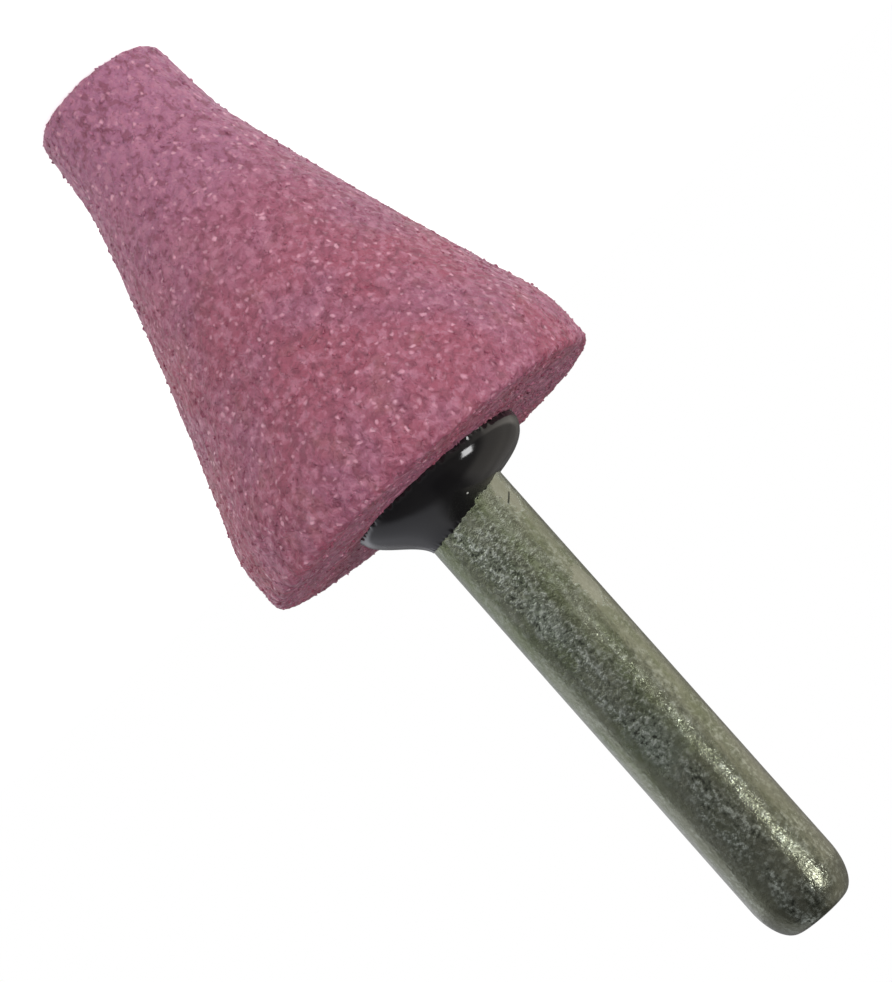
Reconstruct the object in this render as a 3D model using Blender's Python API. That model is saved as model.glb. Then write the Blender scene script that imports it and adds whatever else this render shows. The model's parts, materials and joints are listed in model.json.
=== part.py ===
# A mounted point: a shaped abrasive head cemented on a plain steel shank.
#
# The head was moulded round a blind hole, the shank was set into that hole with black
# epoxy, and the epoxy that squeezed out cured as a lopsided collar on the head's back.
# Everything is in metres, with +Z up the tool's axis and the origin in the middle of the
# nose's flat end, so the point stands on its nose with the shank pointing up.

import math

import bmesh
import bpy
from mathutils import Vector


# Head, from the nose up
HEAD_DIAMETER = 0.0254
HEAD_LENGTH = 0.0323
NOSE_DIAMETER = 0.00956          # at the flat end
NOSE_LENGTH = 0.0060
NOSE_DRAFT = math.radians(5.0)   # slight taper of the blunt nose
NOSE_CORNER = 0.0008
NECK_BLEND = 0.0100              # hollow radius where the nose runs into the flank
FLANK_HOLLOW = 0.0002            # how far the flank bows in from a straight cone
SHOULDER_BLEND = 0.0080
LAND_LENGTH = 0.0036             # straight band round the widest part
RIM_RADIUS = 0.0009

# Steel shank
SHANK_DIAMETER = 0.00635
SHANK_REACH = 0.0351             # free length behind the head
SHANK_SEAT = 0.0152              # length set into the head
END_ROUND_LENGTH = 0.0028        # the free end is rounded over like a quarter ellipse
END_ROUND_DEPTH = 0.0014
SEAT_CHAMFER = 0.0004
KEY_COUNT = 3                    # rolled grooves that key the shank in the epoxy
KEY_WIDTH = 0.0018
KEY_DEPTH = 0.0005
KEY_PITCH = 0.0034
KEY_FIRST = 0.0034               # from the buried end to the first groove's middle

# Epoxy
CEMENT_WALL = 0.0005             # round the shank, inside the hole
CEMENT_FLOOR = 0.0008            # under the shank's buried end
COLLAR_DIAMETER = 0.0123         # where it wets the head's back
COLLAR_HIGH_SIDE = 0.0034        # climb up the shank at +X
COLLAR_LOW_SIDE = 0.0022         # and at -X, where it slumped
SLUMP_BULGE = 0.0002             # how far the slumped lip hangs out past the wetted ring

CLEARANCE = 0.0003               # between two pieces that touch

# Facets
ROUND_SIDES = 64
SHANK_SIDES = 40
ARC_TURN = math.radians(15)      # largest turn of one facet on a rounded corner
ARC_CHORD = 0.0012               # and its largest length
FLANK_FACETS = 7
KEY_FACETS = 6
END_FACETS = 8
LIP_FACETS = 8

SHANK_RADIUS = SHANK_DIAMETER / 2
SLEEVE_BORE = SHANK_RADIUS + CLEARANCE
SLEEVE_RADIUS = SLEEVE_BORE + CEMENT_WALL
HOLE_RADIUS = SLEEVE_RADIUS + CLEARANCE
SHANK_FOOT = -SHANK_SEAT                                # heights from the head's back
SLEEVE_FLOOR = SHANK_FOOT - CLEARANCE
SLEEVE_FOOT = SLEEVE_FLOOR - CEMENT_FLOOR
HOLE_FLOOR = SLEEVE_FOOT - CLEARANCE


def clear_scene():
    for old in list(bpy.data.objects):
        bpy.data.objects.remove(old)


def finish(name, color, roughness, metallic):
    material = bpy.data.materials.new(name)
    material.use_nodes = True
    shader = material.node_tree.nodes["Principled BSDF"]
    shader.inputs["Base Color"].default_value = (*color, 1.0)
    shader.inputs["Roughness"].default_value = roughness
    shader.inputs["Metallic"].default_value = metallic
    material.diffuse_color = (*color, 1.0)
    return material


def rounded(corners):
    """Outline through (radius, height, fillet) corners, with each fillet drawn as an arc."""
    points = [Vector(corner[:2]) for corner in corners]
    outline = [points[0]]
    for index in range(1, len(points) - 1):
        corner = points[index]
        back = points[index - 1] - corner
        ahead = points[index + 1] - corner
        half_angle = back.angle(ahead) / 2
        room = 0.45 * min(back.length, ahead.length)
        radius = min(corners[index][2], room * math.tan(half_angle))
        if radius == 0:
            outline.append(corner)
            continue
        back.normalize()
        ahead.normalize()
        centre = corner + (back + ahead).normalized() * (radius / math.sin(half_angle))
        start = corner + back * (radius / math.tan(half_angle)) - centre
        turn = math.pi - 2 * half_angle
        if back.cross(ahead) > 0:
            turn = -turn
        facets = math.ceil(max(abs(turn) / ARC_TURN, abs(turn) * radius / ARC_CHORD))
        for step in range(facets + 1):
            angle = turn * step / facets
            outline.append(centre + Vector((
                start.x * math.cos(angle) - start.y * math.sin(angle),
                start.x * math.sin(angle) + start.y * math.cos(angle))))
    outline.append(points[-1])
    return outline


def bowed_in(outline, halfway):
    """The outline with the straight flank that spans a height bowed in towards the axis."""
    after = next(index for index, point in enumerate(outline) if point.y > halfway)
    start = outline[after - 1]
    end = outline[after]
    inward = Vector((start.y - end.y, end.x - start.x)).normalized()
    flank = []
    for step in range(1, FLANK_FACETS):
        share = step / FLANK_FACETS
        depth = FLANK_HOLLOW * 4 * share * (1 - share)
        flank.append(start.lerp(end, share) + inward * depth)
    return outline[:after] + flank + outline[after:]


def key_grooves(radius, width):
    """Outline of the rolled grooves, downwards, for the shank or for the epoxy that fills them."""
    outline = []
    for key in reversed(range(KEY_COUNT)):
        middle = SHANK_FOOT + KEY_FIRST + key * KEY_PITCH
        for step in range(KEY_FACETS + 1):
            share = 0.5 - step / KEY_FACETS
            depth = KEY_DEPTH * math.cos(math.pi * share) ** 2
            outline.append(Vector((radius - depth, middle + share * width)))
    return outline


def solid_of_rings(name, rings, material):
    """A closed solid skinned over rings of points, with a flat cap on the first and the last."""
    mesh = bmesh.new()
    loops = [[mesh.verts.new(point) for point in ring] for ring in rings]
    for lower, upper in zip(loops, loops[1:]):
        for side in range(len(lower)):
            following = (side + 1) % len(lower)
            mesh.faces.new((lower[side], lower[following], upper[following], upper[side]))
    mesh.faces.new(reversed(loops[0]))
    mesh.faces.new(loops[-1])
    bmesh.ops.recalc_face_normals(mesh, faces=mesh.faces)
    data = bpy.data.meshes.new(name)
    mesh.to_mesh(data)
    mesh.free()
    data.shade_smooth()
    data.set_sharp_from_angle(angle=math.radians(35))
    piece = bpy.data.objects.new(name, data)
    piece.data.materials.append(material)
    bpy.context.collection.objects.link(piece)
    return piece


def turned(name, outline, sides, material):
    """A solid turned about Z from an outline whose two ends are flat caps."""
    rings = []
    for point in outline:
        ring = []
        for side in range(sides):
            angle = math.tau * side / sides
            ring.append((point.x * math.cos(angle), point.x * math.sin(angle), point.y))
        rings.append(ring)
    return solid_of_rings(name, rings, material)


def abrasive_head():
    back = HEAD_LENGTH
    radius = HEAD_DIAMETER / 2
    nose = NOSE_DIAMETER / 2
    neck = nose + NOSE_LENGTH * math.tan(NOSE_DRAFT)
    shoulder = back - LAND_LENGTH
    outline = rounded([
        (0, 0, 0),
        (nose, 0, NOSE_CORNER),
        (neck, NOSE_LENGTH, NECK_BLEND),
        (radius, shoulder, SHOULDER_BLEND),
        (radius, back, RIM_RADIUS),
        (HOLE_RADIUS, back, 0),
    ])[1:]
    halfway = (NOSE_LENGTH + shoulder) / 2
    outline = bowed_in(outline, halfway)
    outline.append(Vector((HOLE_RADIUS, back + HOLE_FLOOR)))
    pink = finish("pink aluminium oxide", (0.335, 0.125, 0.180), 0.92, 0.0)
    return turned("abrasive_head", outline, ROUND_SIDES, pink)


def steel_shank():
    outline = []
    for step in range(END_FACETS + 1):
        angle = math.pi / 2 * (1 - step / END_FACETS)
        outline.append(Vector((
            SHANK_RADIUS - END_ROUND_DEPTH * (1 - math.cos(angle)),
            SHANK_REACH - END_ROUND_LENGTH * (1 - math.sin(angle)))))
    outline.append(Vector((SHANK_RADIUS, 0)))
    outline += key_grooves(SHANK_RADIUS, KEY_WIDTH)
    outline += [
        Vector((SHANK_RADIUS, SHANK_FOOT + SEAT_CHAMFER)),
        Vector((SHANK_RADIUS - SEAT_CHAMFER, SHANK_FOOT)),
    ]
    steel = finish("dull zinc plated steel", (0.20, 0.21, 0.165), 0.42, 1.0)
    return turned("steel_shank", outline, SHANK_SIDES, steel)


def collar_lip(angle):
    """Outline of the epoxy collar at one side of the tool, from the head's back to the shank.

    It is a Bezier curve. At +X the epoxy climbs in a straight slope and wets the shank in a
    hollow. At -X it slumped into a full, low lip.
    """
    high = (1 + math.cos(angle)) / 2
    wetted = COLLAR_DIAMETER / 2
    reach = wetted - SLEEVE_BORE
    climb = COLLAR_LOW_SIDE + (COLLAR_HIGH_SIDE - COLLAR_LOW_SIDE) * high
    bulge = SLUMP_BULGE * (1 - high)
    edge = Vector((wetted, CLEARANCE))
    top = Vector((SLEEVE_BORE, climb))
    swell = edge + Vector((bulge * 1.5, climb * (0.62 - 0.22 * high)))
    hollow = top + Vector((reach * (0.62 - 0.42 * high), -climb * (0.06 + 0.34 * high)))
    lip = []
    for step in range(LIP_FACETS + 1):
        t = step / LIP_FACETS
        lip.append(edge * (1 - t) ** 3 + swell * 3 * t * (1 - t) ** 2
                   + hollow * 3 * t ** 2 * (1 - t) + top * t ** 3)
    return lip


def cement_collar():
    foot = [Vector((SLEEVE_RADIUS, SLEEVE_FOOT)), Vector((SLEEVE_RADIUS, CLEARANCE))]
    keyed = key_grooves(SLEEVE_BORE, KEY_WIDTH - 2 * CLEARANCE)
    floor = [Vector((SLEEVE_BORE, SLEEVE_FLOOR))]
    sections = []
    for side in range(ROUND_SIDES):
        angle = math.tau * side / ROUND_SIDES
        section = foot + collar_lip(angle) + keyed + floor
        sections.append([(point.x * math.cos(angle), point.x * math.sin(angle), point.y)
                         for point in section])
    rings = list(zip(*sections))
    epoxy = finish("black epoxy", (0.012, 0.011, 0.012), 0.12, 0.0)
    return solid_of_rings("cement_collar", rings, epoxy)


def mounted_point():
    clear_scene()
    tool = bpy.data.objects.new("mounted_point", None)
    bpy.context.collection.objects.link(tool)
    head = abrasive_head()
    shank = steel_shank()
    collar = cement_collar()
    for piece in (shank, collar):
        piece.location.z = HEAD_LENGTH   # both are drawn from the head's back
    for piece in (head, shank, collar):
        piece.parent = tool


mounted_point()
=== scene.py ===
import json
import math
import random

import bmesh
import bpy
from mathutils import Matrix, Vector, noise

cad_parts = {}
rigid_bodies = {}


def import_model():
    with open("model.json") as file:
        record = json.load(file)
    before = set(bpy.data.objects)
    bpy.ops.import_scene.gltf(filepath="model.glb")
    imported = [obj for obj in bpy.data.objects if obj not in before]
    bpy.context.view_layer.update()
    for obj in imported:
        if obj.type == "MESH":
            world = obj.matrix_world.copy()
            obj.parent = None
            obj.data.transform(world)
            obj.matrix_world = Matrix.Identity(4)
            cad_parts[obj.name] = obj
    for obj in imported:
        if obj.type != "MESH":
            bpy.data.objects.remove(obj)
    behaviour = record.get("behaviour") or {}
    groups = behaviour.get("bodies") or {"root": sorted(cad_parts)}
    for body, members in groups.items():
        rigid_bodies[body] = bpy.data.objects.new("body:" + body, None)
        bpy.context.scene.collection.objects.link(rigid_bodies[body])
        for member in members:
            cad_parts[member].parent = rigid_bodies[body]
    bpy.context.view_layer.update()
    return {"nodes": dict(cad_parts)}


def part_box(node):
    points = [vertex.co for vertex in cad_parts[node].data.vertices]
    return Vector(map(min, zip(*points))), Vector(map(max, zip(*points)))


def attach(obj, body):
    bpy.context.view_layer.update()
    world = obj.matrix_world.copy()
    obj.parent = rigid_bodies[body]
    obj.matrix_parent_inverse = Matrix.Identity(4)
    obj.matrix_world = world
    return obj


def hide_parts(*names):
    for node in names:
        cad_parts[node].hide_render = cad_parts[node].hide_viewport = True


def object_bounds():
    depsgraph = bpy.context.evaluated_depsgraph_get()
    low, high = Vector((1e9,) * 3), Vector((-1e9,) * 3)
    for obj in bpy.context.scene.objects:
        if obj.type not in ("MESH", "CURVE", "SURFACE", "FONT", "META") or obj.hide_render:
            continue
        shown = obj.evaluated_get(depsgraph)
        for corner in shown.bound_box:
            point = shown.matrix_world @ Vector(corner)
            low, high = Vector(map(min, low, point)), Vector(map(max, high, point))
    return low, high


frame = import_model()        # the three solids of the tool: head, epoxy and shank
print("frame loaded:", sorted(frame["nodes"]))

headLow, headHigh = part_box("abrasive_head")
shankLow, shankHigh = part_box("steel_shank")
backHeight = headHigh[2]                        # the head's flat back
shankRadius = (shankHigh[0] - shankLow[0]) / 2
shankFoot = shankLow[2]
toolTop = shankHigh[2]


# Helpers for node trees

def addNode(tree, kind, inputs=None, **settings):
    node = tree.nodes.new(kind)
    for name, value in settings.items():
        setattr(node, name, value)
    for key, value in (inputs or {}).items():
        socket = node.inputs[key]
        if isinstance(value, bpy.types.NodeSocket):
            tree.links.new(value, socket)
        else:
            socket.default_value = value
    return node


def maths(tree, operation, *values):
    return addNode(tree, "ShaderNodeMath", dict(enumerate(values)), operation=operation).outputs[0]


def times(tree, first, second):
    return maths(tree, "MULTIPLY", first, second)


def vectorMaths(tree, operation, *values):
    node = addNode(tree, "ShaderNodeVectorMath", dict(enumerate(values)), operation=operation)
    return node.outputs["Value" if operation == "LENGTH" else "Vector"]


def scaled(tree, vector, factor):
    node = addNode(tree, "ShaderNodeVectorMath", {0: vector, "Scale": factor}, operation="SCALE")
    return node.outputs["Vector"]


def lengthOf(tree, first, second):
    squares = maths(tree, "ADD", times(tree, first, first), times(tree, second, second))
    return maths(tree, "SQRT", squares)


def parts(tree, vector):
    return addNode(tree, "ShaderNodeSeparateXYZ", {0: vector}).outputs


def between(tree, value, low, high, outLow=0.0, outHigh=1.0):
    return addNode(tree, "ShaderNodeMapRange", {
        "Value": value, "From Min": low, "From Max": high, "To Min": outLow, "To Max": outHigh},
        interpolation_type="SMOOTHSTEP").outputs["Result"]


def blendColors(tree, factor, first, second):
    node = addNode(tree, "ShaderNodeMix", data_type="RGBA")
    for key, value in ((0, factor), (6, first), (7, second)):
        if isinstance(value, bpy.types.NodeSocket):
            tree.links.new(value, node.inputs[key])
        else:
            node.inputs[key].default_value = value if key == 0 else (*value, 1.0)
    return node.outputs[2]


def blendValues(tree, factor, first, second):
    node = addNode(tree, "ShaderNodeMix", {0: factor, 2: first, 3: second}, data_type="FLOAT")
    return node.outputs[0]


def cells(tree, place, size):
    return addNode(tree, "ShaderNodeTexVoronoi", {"Vector": place, "Scale": 1 / size}).outputs


def cloud(tree, place, size, detail=2.0, roughness=0.5, output="Fac"):
    return addNode(tree, "ShaderNodeTexNoise", {
        "Vector": place, "Scale": 1 / size, "Detail": detail, "Roughness": roughness}).outputs[output]


def newMaterial(name):
    material = bpy.data.materials.new(name)
    material.use_nodes = True
    tree = material.node_tree
    return material, tree, tree.nodes["Principled BSDF"]


# Helpers for pieces

def newPiece(name, data):
    piece = bpy.data.objects.new(name, data)
    bpy.context.scene.collection.objects.link(piece)
    return piece


def mergedCopy(name, node):
    data = frame["nodes"][node].data.copy()
    data.name = name
    data.materials.clear()
    mesh = bmesh.new()
    mesh.from_mesh(data)
    bmesh.ops.remove_doubles(mesh, verts=mesh.verts, dist=1e-6)
    mesh.to_mesh(data)
    mesh.free()
    return newPiece(name, data)


def bakeModifiers(piece):
    bpy.context.view_layer.update()
    graph = bpy.context.evaluated_depsgraph_get()
    ready = piece.evaluated_get(graph)
    data = bpy.data.meshes.new_from_object(ready, preserve_all_data_layers=True, depsgraph=graph)
    piece.modifiers.clear()
    piece.data = data


def runTree(piece, tree, values):
    modifier = piece.modifiers.new(tree.name, "NODES")
    modifier.node_group = tree
    for item in tree.interface.items_tree:
        if item.item_type == "SOCKET" and item.in_out == "INPUT" and item.name in values:
            modifier[item.identifier] = values[item.name]
    bakeModifiers(piece)


def startTree(name, inputs):
    tree = bpy.data.node_groups.new(name, "GeometryNodeTree")
    tree.interface.new_socket("Geometry", in_out="INPUT", socket_type="NodeSocketGeometry")
    for label in inputs:
        tree.interface.new_socket(label, in_out="INPUT", socket_type="NodeSocketFloat")
    tree.interface.new_socket("Geometry", in_out="OUTPUT", socket_type="NodeSocketGeometry")
    return tree, tree.nodes.new("NodeGroupInput").outputs


def endTree(tree, geometry, material):
    real = addNode(tree, "GeometryNodeRealizeInstances", {0: geometry})
    painted = addNode(tree, "GeometryNodeSetMaterial", {
        "Geometry": real.outputs[0], "Material": material})
    tree.links.new(painted.outputs[0], tree.nodes.new("NodeGroupOutput").inputs[0])


# Abrasive head: a pressed skin of fine grit, with the outermost grains standing in it

grit = {
    "skinEdge": 0.00020,         # edge of the skin's small faces
    "skinSink": 0.00005,         # the skin lies this far under the grains' tops
    "grain": 0.00050,
    "grainRelief": 0.00026,
    "bend": 0.00070,             # size of the bends in the grains' outlines
    "bendReach": 0.00060,        # and how far they go
    "fine": 0.00028,
    "fineRelief": 0.00007,
    "lump": 0.0021,
    "lumpRelief": 0.00012,
    "shift": (0.013, 0.047, 0.029),
    "spacing": 0.00032,          # between the grains that stand out
    "grainSize": 0.00042,
    "grainSpread": (0.70, 1.25),
    "grainSink": (0.00013, 0.00023),
    "grainShapes": 8,
    "grainCorners": 9,
    "mostPerArea": 4e7,
    "coveredRadius": 0.0058,     # the epoxy hides the back inside this radius
    "rimRadius": 0.0009,
    "rimSquareness": 3.0,        # 2 is a round rim, more fills its corner
}


def grainField(tree, place):
    shifted = vectorMaths(tree, "ADD", place, grit["shift"])
    bend = cloud(tree, shifted, grit["bend"], output="Color")
    bend = vectorMaths(tree, "SUBTRACT", bend, (0.5, 0.5, 0.5))
    warped = vectorMaths(tree, "ADD", shifted, scaled(tree, bend, grit["bendReach"]))
    rise = maths(tree, "SUBTRACT", cloud(tree, warped, grit["grain"]), 0.5)
    return warped, times(tree, rise, grit["grainRelief"])


def skinTree(material):
    tree, given = startTree("pressed grit", ("Lump Relief", "Skin Sink"))
    place = addNode(tree, "GeometryNodeInputPosition").outputs[0]
    kept = addNode(tree, "GeometryNodeStoreNamedAttribute", {
        "Geometry": given["Geometry"], "Name": "grainPlace", "Value": place},
        data_type="FLOAT_VECTOR", domain="POINT")
    height = grainField(tree, place)[1]
    lump = maths(tree, "SUBTRACT", cloud(tree, place, grit["lump"]), 0.5)
    height = maths(tree, "ADD", height, times(tree, lump, given["Lump Relief"]))
    height = maths(tree, "SUBTRACT", height, given["Skin Sink"])
    push = scaled(tree, addNode(tree, "GeometryNodeInputNormal").outputs[0], height)
    moved = addNode(tree, "GeometryNodeSetPosition", {"Geometry": kept.outputs[0], "Offset": push})
    endTree(tree, moved.outputs[0], material)
    return tree


def grainShapes():
    draw = random.Random(41)
    shapes = bpy.data.collections.new("grains")
    for index in range(grit["grainShapes"]):
        mesh = bmesh.new()
        for corner in range(grit["grainCorners"]):
            spot = Vector((draw.gauss(0, 1), draw.gauss(0, 1), draw.gauss(0, 1))).normalized()
            mesh.verts.new(spot * 0.5 * draw.uniform(0.80, 1.0))
        hull = bmesh.ops.convex_hull(mesh, input=mesh.verts)
        loose = [item for item in hull["geom_interior"] if isinstance(item, bmesh.types.BMVert)]
        bmesh.ops.delete(mesh, geom=loose, context="VERTS")
        bmesh.ops.recalc_face_normals(mesh, faces=mesh.faces)
        data = bpy.data.meshes.new(f"grain{index}")
        mesh.to_mesh(data)
        mesh.free()
        shapes.objects.link(bpy.data.objects.new(f"grain{index}", data))
    return shapes


def grainTree(shapes, material):
    tree, given = startTree("standing grains", ("Spacing", "Grain Size", "Least Sink", "Most Sink"))
    place = parts(tree, addNode(tree, "GeometryNodeInputPosition").outputs[0])
    across = lengthOf(tree, place[0], place[1])
    beyondEpoxy = maths(tree, "GREATER_THAN", across, grit["coveredRadius"])
    onNose = maths(tree, "LESS_THAN", place[2], backHeight / 3)
    shown = maths(tree, "MAXIMUM", beyondEpoxy, onNose)
    spread = addNode(tree, "GeometryNodeDistributePointsOnFaces", {
        "Mesh": given["Geometry"], "Selection": shown, "Distance Min": given["Spacing"],
        "Density Max": grit["mostPerArea"], "Seed": 7}, distribute_method="POISSON")
    depth = addNode(tree, "FunctionNodeRandomValue", {
        "Min": given["Least Sink"], "Max": given["Most Sink"], "Seed": 11}, data_type="FLOAT")
    inward = scaled(tree, spread.outputs["Normal"], times(tree, depth.outputs["Value"], -1.0))
    sunk = addNode(tree, "GeometryNodeSetPosition", {
        "Geometry": spread.outputs["Points"], "Offset": inward})
    kept = addNode(tree, "GeometryNodeStoreNamedAttribute", {
        "Geometry": sunk.outputs[0], "Name": "grainPlace",
        "Value": addNode(tree, "GeometryNodeInputPosition").outputs[0]},
        data_type="FLOAT_VECTOR", domain="POINT")
    source = addNode(tree, "GeometryNodeCollectionInfo", {
        "Collection": shapes, "Separate Children": True, "Reset Children": True})
    turn = addNode(tree, "FunctionNodeRandomValue", {
        "Min": (0.0, 0.0, 0.0), "Max": (math.tau, math.tau, math.tau), "Seed": 3},
        data_type="FLOAT_VECTOR")
    size = addNode(tree, "FunctionNodeRandomValue", {
        "Min": grit["grainSpread"][0], "Max": grit["grainSpread"][1], "Seed": 5}, data_type="FLOAT")
    placed = addNode(tree, "GeometryNodeInstanceOnPoints", {
        "Points": kept.outputs[0], "Instance": source.outputs[0], "Pick Instance": True,
        "Rotation": turn.outputs[0],
        "Scale": times(tree, size.outputs["Value"], given["Grain Size"])})
    endTree(tree, placed.outputs[0], material)
    return tree


gritPaint = {
    "rose": (0.352, 0.086, 0.135),
    "mauve": (0.340, 0.109, 0.178),
    "tan": (0.333, 0.115, 0.133),
    # the nose's own lilac tint, also made lighter as painted light
    "nosePinkAndLight": (0.405, 0.155, 0.257),
    # darker grains, and the colour of the painted shade on the relief and in the pits
    "dark": (0.218, 0.050, 0.085),
    # paler grains, and the colour of the painted light on the relief
    "pale": (0.520, 0.215, 0.300),
    # colour of the painted highlights on the grains' facets
    "glint": (0.760, 0.380, 0.480),
    "drift": 0.0048,             # size of the slow change from rose to mauve
    "stain": 0.0024,
    "noseFade": (0.002, 0.021),  # heights between which the nose's tone and its painted light fade
    # size of the painted shade and light on the grains' relief
    "paintedRelief": 0.00058,
    # size of the small pits painted with shade
    "pit": 0.00034,
    "paintedGlint": 0.00050,            # size of the painted highlights on single grains' facets
    "paintedGlintCluster": 0.0016,
    "roughness": 0.50,
    "glintRoughness": 0.28,
    "specular": 0.45,
    "glow": 0.30,                # light that enters the grains and spreads
    "glowDepth": 0.00025,
    "glowColor": (1.0, 0.40, 0.50),
}


def gritMaterial():
    material, tree, shader = newMaterial("pink grit")
    place = addNode(tree, "ShaderNodeAttribute", attribute_name="grainPlace").outputs["Vector"]
    body = addNode(tree, "ShaderNodeTexCoord").outputs["Object"]
    warped, height = grainField(tree, body)

    # slow changes of tone over the head
    drift = cloud(tree, body, gritPaint["drift"])
    color = blendColors(tree, between(tree, drift, 0.38, 0.62), gritPaint["rose"], gritPaint["mauve"])
    stain = cloud(tree, vectorMaths(tree, "ADD", body, (0.3, 0.1, 0.2)), gritPaint["stain"], 3.0)
    color = blendColors(tree, between(tree, stain, 0.54, 0.70, 0.0, 0.6), color, gritPaint["tan"])
    # the nose: its own lilac tint, partly lightened as painted light
    noseTintAndLight = between(tree, parts(tree, body)[2], *gritPaint["noseFade"], 1.0, 0.0)
    color = blendColors(tree, noseTintAndLight, color, gritPaint["nosePinkAndLight"])

    # darker and paler grains at random, painted shade and light for the grains' relief, and painted
    # shade in small pits
    tone = parts(tree, cells(tree, place, grit["grain"])["Color"])[0]
    color = blendColors(tree, between(tree, tone, 0.0, 0.5, 0.16, 0.0), color, gritPaint["dark"])
    color = blendColors(tree, between(tree, tone, 0.5, 1.0, 0.0, 0.26), color, gritPaint["pale"])
    # painted relief: darker and lighter patches that stand in for shade and light on the grains
    paintedRelief = cloud(tree, warped, gritPaint["paintedRelief"])
    color = blendColors(tree, between(tree, paintedRelief, 0.48, 0.36, 0.0, 0.62), color, gritPaint["dark"])
    color = blendColors(tree, between(tree, paintedRelief, 0.52, 0.65, 0.0, 0.54), color, gritPaint["pale"])
    # painted shade in small pits
    pitShade = cloud(tree, vectorMaths(tree, "ADD", warped, (0.2, 0.4, 0.1)), gritPaint["pit"], 1.0)
    color = blendColors(tree, between(tree, pitShade, 0.36, 0.27, 0.0, 0.60), color, gritPaint["dark"])

    # painted highlights: pale, less rough spots where grain facets would catch the light
    spots = cells(tree, warped, gritPaint["paintedGlint"])
    paintedGlint = times(tree, between(tree, spots["Distance"], 0.10, 0.40, 1.0, 0.0),
                  between(tree, parts(tree, spots["Color"])[0], 0.10, 1.0))
    cluster = cloud(tree, body, gritPaint["paintedGlintCluster"])
    paintedGlint = times(tree, paintedGlint, between(tree, cluster, 0.38, 0.60, 0.55, 1.0))
    color = blendColors(tree, times(tree, paintedGlint, 0.93), color, gritPaint["glint"])
    tree.links.new(color, shader.inputs["Base Color"])
    rough = between(tree, paintedGlint, 0.0, 1.0, gritPaint["roughness"], gritPaint["glintRoughness"])
    tree.links.new(rough, shader.inputs["Roughness"])

    fine = times(tree, cloud(tree, body, grit["fine"]), grit["fineRelief"])
    bump = addNode(tree, "ShaderNodeBump", {
        "Height": maths(tree, "ADD", height, fine), "Distance": 1.0, "Strength": 1.0})
    tree.links.new(bump.outputs[0], shader.inputs["Normal"])
    shader.inputs["Specular IOR Level"].default_value = gritPaint["specular"]
    shader.inputs["Subsurface Weight"].default_value = gritPaint["glow"]
    shader.inputs["Subsurface Radius"].default_value = gritPaint["glowColor"]
    shader.inputs["Subsurface Scale"].default_value = gritPaint["glowDepth"]
    return material


def squareRim(data):
    radius, power = grit["rimRadius"], grit["rimSquareness"]
    middle = Vector((headHigh[0] - radius, backHeight - radius))
    for vertex in data.vertices:
        across = math.hypot(vertex.co.x, vertex.co.y)
        out = Vector((across - middle.x, vertex.co.z - middle.y))
        if min(out) > 0:
            filled = (out.x ** power + out.y ** power) ** (1 / power)
            spot = middle + out * (out.length / filled)
            vertex.co.x *= spot.x / across
            vertex.co.y *= spot.x / across
            vertex.co.z = spot.y


def makeHead():
    material = gritMaterial()
    head = mergedCopy("grit_head", "abrasive_head")
    remesh = head.modifiers.new("even faces", "REMESH")
    remesh.mode = "VOXEL"
    remesh.voxel_size = grit["skinEdge"]
    bakeModifiers(head)
    squareRim(head.data)
    grains = newPiece("grit_grains", head.data.copy())
    runTree(head, skinTree(material), {
        "Lump Relief": grit["lumpRelief"], "Skin Sink": grit["skinSink"]})
    head.data.shade_smooth()
    print("head skin:", len(head.data.polygons), "faces")

    shapes = grainShapes()
    runTree(grains, grainTree(shapes, material), {
        "Spacing": grit["spacing"], "Grain Size": grit["grainSize"],
        "Least Sink": grit["grainSink"][0], "Most Sink": grit["grainSink"][1]})
    for shape in list(shapes.objects):
        bpy.data.objects.remove(shape)
    bpy.data.collections.remove(shapes)
    grains.data.shade_smooth()
    print("grains:", len(grains.data.polygons), "faces")

    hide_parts("abrasive_head")
    for piece in (head, grains):
        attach(piece, "root")


# Turned pieces: rings of points skinned into a closed solid

def skinRings(name, rings, material, sharpAngle=50.0):
    mesh = bmesh.new()
    loops = [[mesh.verts.new(point) for point in ring] for ring in rings]
    for lower, upper in zip(loops, loops[1:]):
        for side in range(len(lower)):
            after = (side + 1) % len(lower)
            mesh.faces.new((lower[side], lower[after], upper[after], upper[side]))
    mesh.faces.new(reversed(loops[0]))
    mesh.faces.new(loops[-1])
    bmesh.ops.recalc_face_normals(mesh, faces=mesh.faces)
    data = bpy.data.meshes.new(name)
    mesh.to_mesh(data)
    mesh.free()
    data.shade_smooth()
    data.set_sharp_from_angle(angle=math.radians(sharpAngle))
    data.materials.append(material)
    return newPiece(name, data)


# Epoxy: the collar that ran out onto the head's back and cured there

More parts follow.
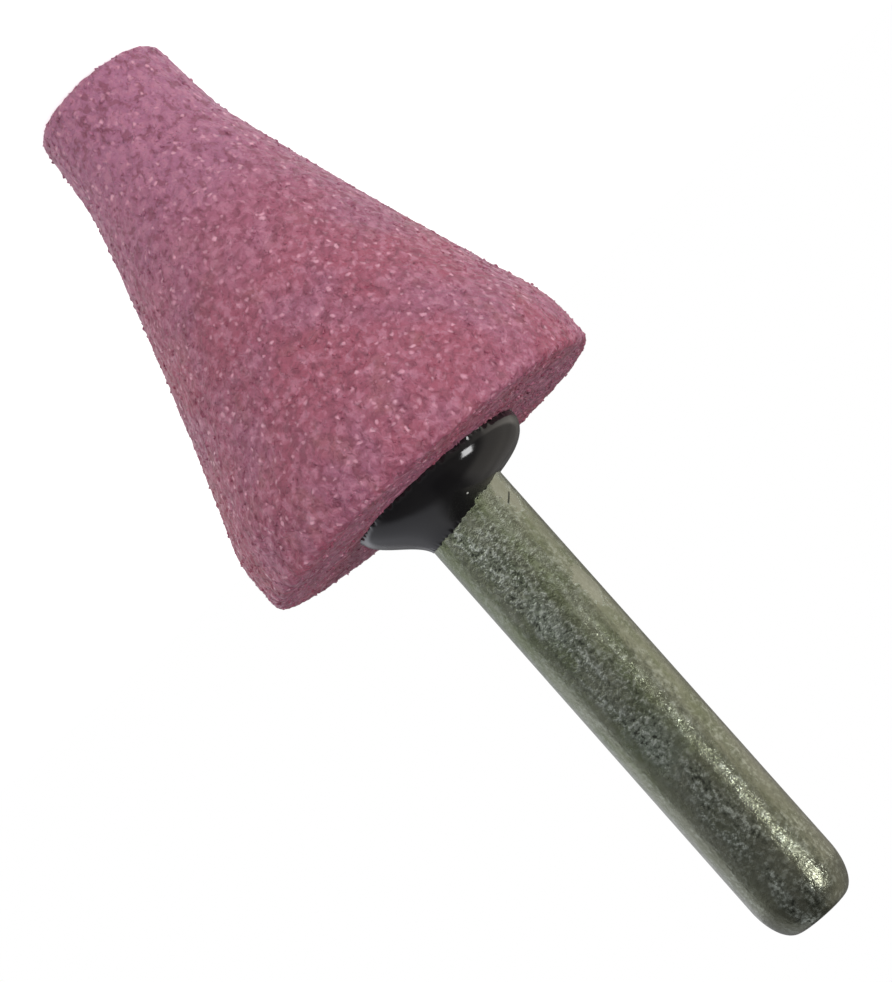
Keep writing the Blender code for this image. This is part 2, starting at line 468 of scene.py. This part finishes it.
epoxy = {
    "wetted": 0.00615,           # radius where it wets the back
    "highSide": 0.0034,          # climb up the shank at +X
    "lowSide": 0.0022,           # and at -X, where it slumped
    "frontRise": 0.0004,         # it hangs a little further up the shank on the camera's side
    "bulge": 0.0002,
    "shankGap": 0.00002,         # between the epoxy's skin and the shank's
    "sleeveRadius": 0.003975,
    "sleeveDepth": 0.0163,       # how deep the sleeve reaches into the head
    "sleeveFloor": 0.001,
    "sink": 0.00015,             # how far the collar's edge reaches into the grit
    "sides": 420,
    "lipSteps": 40,
    "waves": {                   # of the lip's edge, body and top: counts round the tool, and size
        "edge": ((5, 9, 16, 27, 44, 63, 88), 0.00013),
        "body": ((2, 3, 5), 0.00005),
        "top": ((7, 11, 18, 29, 46, 71), 0.00006),
    },
    "edgeShare": 0.10,           # share of the lip that follows a ragged edge
    "grainBumps": 0.00005,       # grains that lift the thin edge
    "bubbles": ((35.0, 0.50, 0.00009), (150.0, 0.62, 0.00011)),   # angle, share of the lip, radius
    "glintDot": (-100.0, 0.70, 0.00006),   # likewise, for a small highlight painted as a pale spot on the lip
    "black": (0.0072, 0.0068, 0.0080),
    "haze": (0.0110, 0.0104, 0.0102),
    # colour of that painted highlight
    "glintDotColor": (0.50, 0.49, 0.46),
    "hazeSize": 0.0016,
    "smear": 0.0009,             # size of the changes in gloss
    "roughness": (0.07, 0.15),
    "edgeDulling": 0.30,         # the thin edges shine less
    "ripple": 0.0012,
    "rippleRelief": 0.00002,
}


def waves(angle, terms):
    return sum(size * math.cos(count * angle + shift) for count, size, shift in terms)


def aroundTool(radius, angle, height):
    return Vector((radius * math.cos(angle), radius * math.sin(angle), height))


def lipPoint(angle, share, terms):
    high = (1 + math.cos(angle)) / 2
    inner = shankRadius + epoxy["shankGap"]
    climb = epoxy["lowSide"] + (epoxy["highSide"] - epoxy["lowSide"]) * high
    climb += epoxy["frontRise"] * max(0.0, -math.sin(angle)) ** 1.5
    bulge = epoxy["bulge"] * (1 - high) + waves(angle, terms["body"])
    reach = epoxy["wetted"] - inner
    edge = Vector((epoxy["wetted"], -epoxy["sink"]))
    top = Vector((inner, climb))
    swell = edge + Vector((bulge * 1.5, climb * (0.62 - 0.22 * high)))
    hollow = top + Vector((reach * (0.62 - 0.42 * high), -climb * (0.06 + 0.34 * high)))
    rest = 1 - share
    spot = (edge * rest ** 3 + swell * 3 * share * rest ** 2
            + hollow * 3 * share ** 2 * rest + top * share ** 3)
    nearEdge = max(0.0, 1 - share / epoxy["edgeShare"])
    nearTop = max(0.0, 1 - rest / epoxy["edgeShare"])
    return (spot.x + waves(angle, terms["edge"]) * nearEdge ** 2,
            spot.y + waves(angle, terms["top"]) * nearTop ** 2)


def outwards(angle):
    return Vector((math.cos(angle), math.sin(angle), 0.8)).normalized()


def lifted(point, share, angle):
    thin = max(0.0, 1 - share / epoxy["edgeShare"])
    rise = epoxy["grainBumps"] * thin * max(0.0, noise.noise(point * 2600) + 0.15)
    return point + outwards(angle) * rise


def lipSpot(turn, along, terms):
    angle = math.radians(turn)
    radius, rise = lipPoint(angle, along, terms)
    return aroundTool(radius, angle, rise + backHeight)


def epoxyMaterial(terms):
    material, tree, shader = newMaterial("black epoxy")
    place = addNode(tree, "ShaderNodeTexCoord").outputs["Object"]
    color = blendColors(tree, cloud(tree, place, epoxy["hazeSize"]), epoxy["black"], epoxy["haze"])
    # a small pale spot painted on the lip as a highlight
    turn, along, size = epoxy["glintDot"]
    away = vectorMaths(tree, "SUBTRACT", place, tuple(lipSpot(turn, along, terms)))
    onGlintDot = between(tree, vectorMaths(tree, "LENGTH", away), size, size * 1.5, 1.0, 0.0)
    color = blendColors(tree, onGlintDot, color, epoxy["glintDotColor"])
    tree.links.new(color, shader.inputs["Base Color"])
    edge = addNode(tree, "ShaderNodeLayerWeight", {"Blend": 0.5}).outputs["Facing"]
    dull = between(tree, edge, 0.62, 0.95, 0.0, epoxy["edgeDulling"])
    smeared = between(tree, cloud(tree, place, epoxy["smear"], 3.0), 0.3, 0.75, *epoxy["roughness"])
    tree.links.new(maths(tree, "ADD", dull, smeared), shader.inputs["Roughness"])
    ripple = times(tree, cloud(tree, place, epoxy["ripple"]), epoxy["rippleRelief"])
    bump = addNode(tree, "ShaderNodeBump", {"Height": ripple, "Distance": 1.0, "Strength": 0.5})
    tree.links.new(bump.outputs[0], shader.inputs["Normal"])
    return material


def addBubbles(piece, terms):
    mesh = bmesh.new()
    mesh.from_mesh(piece.data)
    for turn, along, size in epoxy["bubbles"]:
        centre = lipSpot(turn, along, terms) + outwards(math.radians(turn)) * -0.3 * size
        made = bmesh.ops.create_icosphere(mesh, subdivisions=3, radius=size,
                                          matrix=Matrix.Translation(centre))
        for vertex in made["verts"]:
            for face in vertex.link_faces:
                face.smooth = True
    mesh.to_mesh(piece.data)
    mesh.free()


def makeEpoxy():
    draw = random.Random(12)
    terms = {}
    for label, (counts, size) in epoxy["waves"].items():
        terms[label] = [(count, size * draw.uniform(0.35, 1.0) / 2, draw.uniform(0, math.tau))
                        for count in counts]
    foot = [(epoxy["sleeveRadius"], -epoxy["sleeveDepth"]), (epoxy["sleeveRadius"], -epoxy["sink"])]
    floor = backHeight - epoxy["sleeveDepth"] + epoxy["sleeveFloor"]
    sections = []
    for side in range(epoxy["sides"]):
        angle = math.tau * side / epoxy["sides"]
        section = [aroundTool(radius, angle, rise + backHeight) for radius, rise in foot]
        for step in range(epoxy["lipSteps"] + 1):
            share = step / epoxy["lipSteps"]
            radius, rise = lipPoint(angle, share, terms)
            section.append(lifted(aroundTool(radius, angle, rise + backHeight), share, angle))
        section.append(aroundTool(shankRadius + epoxy["shankGap"], angle, floor))
        sections.append(section)
    piece = skinRings("epoxy_collar", list(zip(*sections)), epoxyMaterial(terms))
    addBubbles(piece, terms)
    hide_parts("cement_collar")
    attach(piece, "root")
    print("epoxy:", len(piece.data.polygons), "faces")


# Shank: dull, mottled zinc on a round rod whose free end is rounded over like a quarter ellipse

steel = {
    "roundLength": 0.0028,
    "roundDepth": 0.0014,
    "roundSteps": 24,
    "sides": 144,
    "sections": 90,
}

zinc = {
    "olive": (0.153, 0.175, 0.096),
    "grey": (0.242, 0.254, 0.184),
    "brown": (0.165, 0.165, 0.124),
    "speck": (0.48, 0.515, 0.445),
    "pit": (0.060, 0.066, 0.050),
    "frost": (0.205, 0.236, 0.204),
    "bloom": (0.330, 0.375, 0.315),
    "pale": (0.37, 0.38, 0.31),
    "metallic": 0.85,
    "roughness": (0.15, 0.30),
    "drawnOut": 0.30,            # patches are this share of their length across the rod
    "patch": 0.0015,
    "frostPatch": 0.0010,
    "crystal": 0.00031,
    "smear": 0.0006,             # size of the changes in gloss
    "lump": 0.00055,
    "lumpRelief": 0.00005,
    "crystalRelief": 0.00005,
    "scratchDepth": 0.00003,
    "brownFrom": 0.014,          # the browner end starts this far above the head's back

    "wobble": 1.6,               # how much the ovals' edges wander, as a share of their size
    "wobbleSize": 0.0007,

    # In millimetres, with arcs measured round the rod from its front: arc, height, half sizes
    "marks": ((2.95, 35.9, 0.75, 1.9), (3.05, 43.4, 0.85, 1.9)),   # worn pale
    "frosty": ((-0.7, 53.2, 1.7, 2.3), (-0.8, 43.8, 1.0, 2.0)),    # where the crystals are thick
    "scratch": (2.85, 36.35, 0.60, 0.07),
    "bandMiddle": 0.60,          # the heavier speckle runs down the front, this far to one side
}


def unrolled(tree, place):
    spot = parts(tree, place)
    turn = maths(tree, "ARCTAN2", times(tree, spot[0], -1.0), times(tree, spot[1], -1.0))
    return times(tree, turn, shankRadius * 1000), times(tree, spot[2], 1000)


def ovals(tree, place, marks, fromMiddle, toEdge):
    arc, height = unrolled(tree, place)
    wander = maths(tree, "SUBTRACT", cloud(tree, place, zinc["wobbleSize"], 3.0, 0.6), 0.5)
    wobble = times(tree, wander, zinc["wobble"])
    covered = 0.0
    for arcMiddle, heightMiddle, arcHalf, heightHalf in marks:
        sideways = maths(tree, "DIVIDE", maths(tree, "SUBTRACT", arc, arcMiddle), arcHalf)
        upwards = maths(tree, "DIVIDE", maths(tree, "SUBTRACT", height, heightMiddle), heightHalf)
        away = maths(tree, "ADD", lengthOf(tree, sideways, upwards), wobble)
        inside = between(tree, away, fromMiddle, toEdge, 1.0, 0.0)
        covered = maths(tree, "MAXIMUM", covered, inside)
    return covered


def scratchMark(tree, place):
    arc, height = unrolled(tree, place)
    arcMiddle, heightMiddle, halfLength, halfWidth = zinc["scratch"]
    sideways = maths(tree, "SUBTRACT", arc, arcMiddle)
    upwards = maths(tree, "SUBTRACT", height, heightMiddle)
    along = maths(tree, "SUBTRACT", times(tree, sideways, 0.82), times(tree, upwards, 0.57))
    across = maths(tree, "ADD", times(tree, sideways, 0.57), times(tree, upwards, 0.82))
    inLength = between(tree, maths(tree, "ABSOLUTE", along), halfLength * 0.7, halfLength, 1.0, 0.0)
    inWidth = between(tree, maths(tree, "ABSOLUTE", across), halfWidth * 0.5, halfWidth, 1.0, 0.0)
    return times(tree, inLength, inWidth)


def zincMaterial():
    material, tree, shader = newMaterial("dull zinc")
    place = addNode(tree, "ShaderNodeTexCoord").outputs["Object"]
    drawn = addNode(tree, "ShaderNodeMapping", {
        "Vector": place, "Scale": (1.0, 1.0, zinc["drawnOut"])}).outputs[0]

    # the plating's own tones
    patches = cloud(tree, drawn, zinc["patch"], 3.0, 0.6)
    color = blendColors(tree, between(tree, patches, 0.36, 0.64), zinc["olive"], zinc["grey"])
    endward = between(tree, parts(tree, place)[2], backHeight + zinc["brownFrom"], toolTop, 0.0, 1.0)
    color = blendColors(tree, times(tree, endward, 0.8), color, zinc["brown"])

    # frost and crystals, thickest in a band down the front
    arc = unrolled(tree, place)[0]
    offBand = maths(tree, "ABSOLUTE", maths(tree, "ADD", arc, zinc["bandMiddle"]))
    band = maths(tree, "MAXIMUM", between(tree, offBand, 0.8, 1.6, 1.0, 0.25),
                 between(tree, arc, 0.3, 0.9, 0.0, 0.42))
    frosted = between(tree, cloud(tree, drawn, zinc["frostPatch"], 3.0), 0.38, 0.60, 0.30, 1.0)
    color = blendColors(tree, times(tree, times(tree, frosted, band), 0.38), color, zinc["frost"])
    frosty = ovals(tree, place, zinc["frosty"], 0.2, 1.3)
    color = blendColors(tree, times(tree, frosty, 0.55), color, zinc["bloom"])
    speckled = times(tree, maths(tree, "MAXIMUM", frosted, frosty), band)
    crystal = cloud(tree, place, zinc["crystal"], 3.0, 0.66)
    bright = times(tree, between(tree, crystal, 0.50, 0.60), speckled)
    color = blendColors(tree, bright, color, zinc["speck"])
    dark = times(tree, between(tree, crystal, 0.45, 0.35), speckled)
    color = blendColors(tree, dark, color, zinc["pit"])

    # wear
    worn = ovals(tree, place, zinc["marks"], 0.75, 1.05)
    color = blendColors(tree, times(tree, worn, 0.60), color, zinc["pale"])
    scratch = scratchMark(tree, place)
    color = blendColors(tree, scratch, color, zinc["pit"])
    tree.links.new(color, shader.inputs["Base Color"])
    shader.inputs["Metallic"].default_value = zinc["metallic"]
    rough = between(tree, cloud(tree, place, zinc["smear"], 3.0), 0.3, 0.7, *zinc["roughness"])
    tree.links.new(rough, shader.inputs["Roughness"])

    lumps = times(tree, cloud(tree, drawn, zinc["lump"], 3.0, 0.6), zinc["lumpRelief"])
    facets = times(tree, crystal, zinc["crystalRelief"])
    smooth = maths(tree, "SUBTRACT", 1.0, times(tree, worn, 0.8))
    relief = times(tree, maths(tree, "ADD", lumps, facets), smooth)
    relief = maths(tree, "SUBTRACT", relief, times(tree, scratch, zinc["scratchDepth"]))
    bump = addNode(tree, "ShaderNodeBump", {"Height": relief, "Distance": 1.0, "Strength": 0.7})
    tree.links.new(bump.outputs[0], shader.inputs["Normal"])
    return material


def makeShank():
    profile = []
    for step in range(steel["roundSteps"] + 1):
        turn = math.pi / 2 * (1 - step / steel["roundSteps"])
        profile.append(Vector((shankRadius - steel["roundDepth"] * (1 - math.cos(turn)),
                               toolTop - steel["roundLength"] * (1 - math.sin(turn)))))
    start = profile[-1].y
    for step in range(1, steel["sections"] + 1):
        height = start + (shankFoot - start) * step / steel["sections"]
        profile.append(Vector((shankRadius, height)))
    turns = [math.tau * side / steel["sides"] for side in range(steel["sides"])]
    rings = [[aroundTool(point.x, turn, point.y) for turn in turns] for point in profile]
    piece = skinRings("zinc_shank", rings, zincMaterial(), 30.0)
    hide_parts("steel_shank")
    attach(piece, "root")
    print("shank:", len(piece.data.polygons), "faces")


makeHead()
makeEpoxy()
makeShank()


# Stage, light and camera

stage = {
    "floorSize": 0.44,
    "floorColor": 0.86,
    "floorLift": 0.80,           # what camera and glossy rays see on top of the lit floor
    "floorGlow": 0.22,           # and what it gives the tool on top
    "sideLight": 0.97,           # the room round the tool
    "topLight": 0.24,            # and over it
    "topFrom": (0.17, 0.74),     # steepness over which one turns into the other
    "frontLight": 0.22,          # added on the camera's side
    "cool": (0.97, 0.98, 1.06),  # the room's gloss on the +X side
    "warm": (1.07, 1.0, 0.90),   # and on the -X side
    # what shines back from the level of the tool, from straight behind it to the camera's side
    "gloss": ((-1.0, 0.20), (-0.95, 0.32), (-0.87, 0.57), (-0.55, 0.79), (-0.1, 0.78),
              (0.13, 0.29), (0.4, 0.29), (0.8, 0.24), (1.0, 0.22)),
    "highGloss": ((-1.0, 0.20), (-0.85, 0.28), (-0.60, 0.46), (-0.10, 0.52),
                  (0.25, 0.11), (0.6, 0.08)),
    "highFrom": (0.11, 0.24),    # the second table takes over between these steepnesses
    "lean": 0.2,                 # turns both tables a little towards -X
    "rise": (-0.10, 0.13),       # between these steepnesses the first table's level changes:
    "riseBehind": (0.95, 1.50),  # so much behind the tool
    "riseFront": (1.10, 0.80),   # and so much on the camera's side
    "overhead": (0.45, 0.75),    # from here up a dark strip runs over the tool
    "overheadHalf": (0.12, 0.34),
    "overheadLevel": 0.12,
    "keyPower": 0.38,
    "keySize": (0.085, 0.105),
    "keyDistance": 0.34,
    "keyTurn": 47.0,             # degrees from the camera's side towards -X
    "keyRise": 23.5,
}


def seenRays(tree):
    rays = addNode(tree, "ShaderNodeLightPath").outputs
    gloss = maths(tree, "MAXIMUM", rays["Is Glossy Ray"], rays["Is Transmission Ray"])
    return rays["Is Camera Ray"], gloss


def makeFloor(height):
    mesh = bmesh.new()
    bmesh.ops.create_grid(mesh, x_segments=1, y_segments=1, size=stage["floorSize"] / 2)
    data = bpy.data.meshes.new("floor")
    mesh.to_mesh(data)
    mesh.free()
    floor = newPiece("floor", data)
    floor.location.z = height
    material, tree, shader = newMaterial("white floor")
    level = stage["floorColor"]
    shader.inputs["Base Color"].default_value = (level, level, level, 1.0)
    shader.inputs["Roughness"].default_value = 1.0
    shader.inputs["Specular IOR Level"].default_value = 0.0
    camera, gloss = seenRays(tree)
    shader.inputs["Emission Color"].default_value = (1.0, 1.0, 1.0, 1.0)
    lift = blendValues(tree, maths(tree, "MAXIMUM", camera, gloss),
                       stage["floorGlow"], stage["floorLift"])
    tree.links.new(lift, shader.inputs["Emission Strength"])
    floor.data.materials.append(material)


def stepped(tree, value, table):
    level = table[0][1]
    for (start, first), (stop, second) in zip(table, table[1:]):
        level = maths(tree, "ADD", level, between(tree, value, start, stop, 0.0, second - first))
    return level


def roomGloss(tree, direction):
    sideways, inward, up = parts(tree, direction)
    forward = maths(tree, "SUBTRACT", times(tree, sideways, stage["lean"]), inward)
    rise = blendValues(tree, between(tree, forward, 0.2, 0.6),
                       between(tree, up, *stage["rise"], *stage["riseBehind"]),
                       between(tree, up, *stage["rise"], *stage["riseFront"]))
    low = times(tree, stepped(tree, forward, stage["gloss"]), rise)
    strip = between(tree, maths(tree, "ABSOLUTE", sideways), *stage["overheadHalf"],
                    stage["overheadLevel"], 1.0)
    ceiling = blendValues(tree, between(tree, up, *stage["overhead"]), 1.0, strip)
    high = times(tree, stepped(tree, forward, stage["highGloss"]), ceiling)
    return blendValues(tree, between(tree, up, *stage["highFrom"]), low, high)


def makeWorld():
    world = bpy.data.worlds.new("white room")
    world.use_nodes = True
    tree = world.node_tree
    background = tree.nodes["Background"]
    camera, gloss = seenRays(tree)
    direction = addNode(tree, "ShaderNodeTexCoord").outputs["Generated"]
    sideways, inward, up = parts(tree, direction)
    steep = maths(tree, "ADD", up, times(tree, inward, 0.12))
    lit = between(tree, steep, *stage["topFrom"], stage["sideLight"], stage["topLight"])
    lit = maths(tree, "ADD", lit, between(tree, inward, -0.5, -1.0, 0.0, stage["frontLight"]))
    level = blendValues(tree, gloss, lit, roomGloss(tree, direction))
    level = blendValues(tree, camera, level, 1.0)
    tint = blendColors(tree, between(tree, sideways, -0.6, 0.6), stage["warm"], stage["cool"])
    white = blendColors(tree, gloss, (1.0, 1.0, 1.0), tint)
    tree.links.new(white, background.inputs["Color"])
    tree.links.new(level, background.inputs["Strength"])
    bpy.context.scene.world = world


def makeKey(target):
    turn, rise = math.radians(stage["keyTurn"]), math.radians(stage["keyRise"])
    towards = Vector((-math.sin(turn) * math.cos(rise), -math.cos(turn) * math.cos(rise),
                      math.sin(rise)))
    lamp = bpy.data.lights.new("key", "AREA")
    lamp.shape = "RECTANGLE"
    lamp.size, lamp.size_y = stage["keySize"]
    lamp.energy = stage["keyPower"]
    key = newPiece("key", lamp)
    turned = towards.to_track_quat("Z", "Y").to_matrix().to_4x4()
    key.matrix_world = Matrix.Translation(target + towards * stage["keyDistance"]) @ turned


photo = {
    "distance": 0.1489,
    "elevation": 5.81,           # degrees above the middle of the tool
    "roll": 138.45,              # degrees clockwise, so the shank points to the lower right
    "focalPixels": 2423.7,
    "imageHeight": 982,
    "aimHeight": 0.03333,
    "aimSide": 0.00011,
}


def makeCamera():
    rise, roll = math.radians(photo["elevation"]), math.radians(photo["roll"])
    target = Vector((photo["aimSide"], 0.0, photo["aimHeight"]))
    back = Vector((0.0, -math.cos(rise), math.sin(rise)))
    right = Vector((1.0, 0.0, 0.0))
    up = Vector((0.0, math.sin(rise), math.cos(rise)))
    imageRight = up * math.sin(roll) + right * math.cos(roll)
    imageUp = up * math.cos(roll) - right * math.sin(roll)
    data = bpy.data.cameras.new("photo")
    data.sensor_width = 36.0
    data.lens = data.sensor_width * photo["focalPixels"] / photo["imageHeight"]
    data.clip_start = 0.01
    camera = newPiece("photo", data)
    turned = Matrix((imageRight, imageUp, back)).transposed().to_4x4()
    camera.matrix_world = Matrix.Translation(target + back * photo["distance"]) @ turned
    bpy.context.scene.camera = camera
    return target


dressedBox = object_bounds()
makeFloor(dressedBox[0][2])
makeWorld()
makeKey(makeCamera())
bpy.context.scene.view_settings.view_transform = "Standard"

print("stage ready")
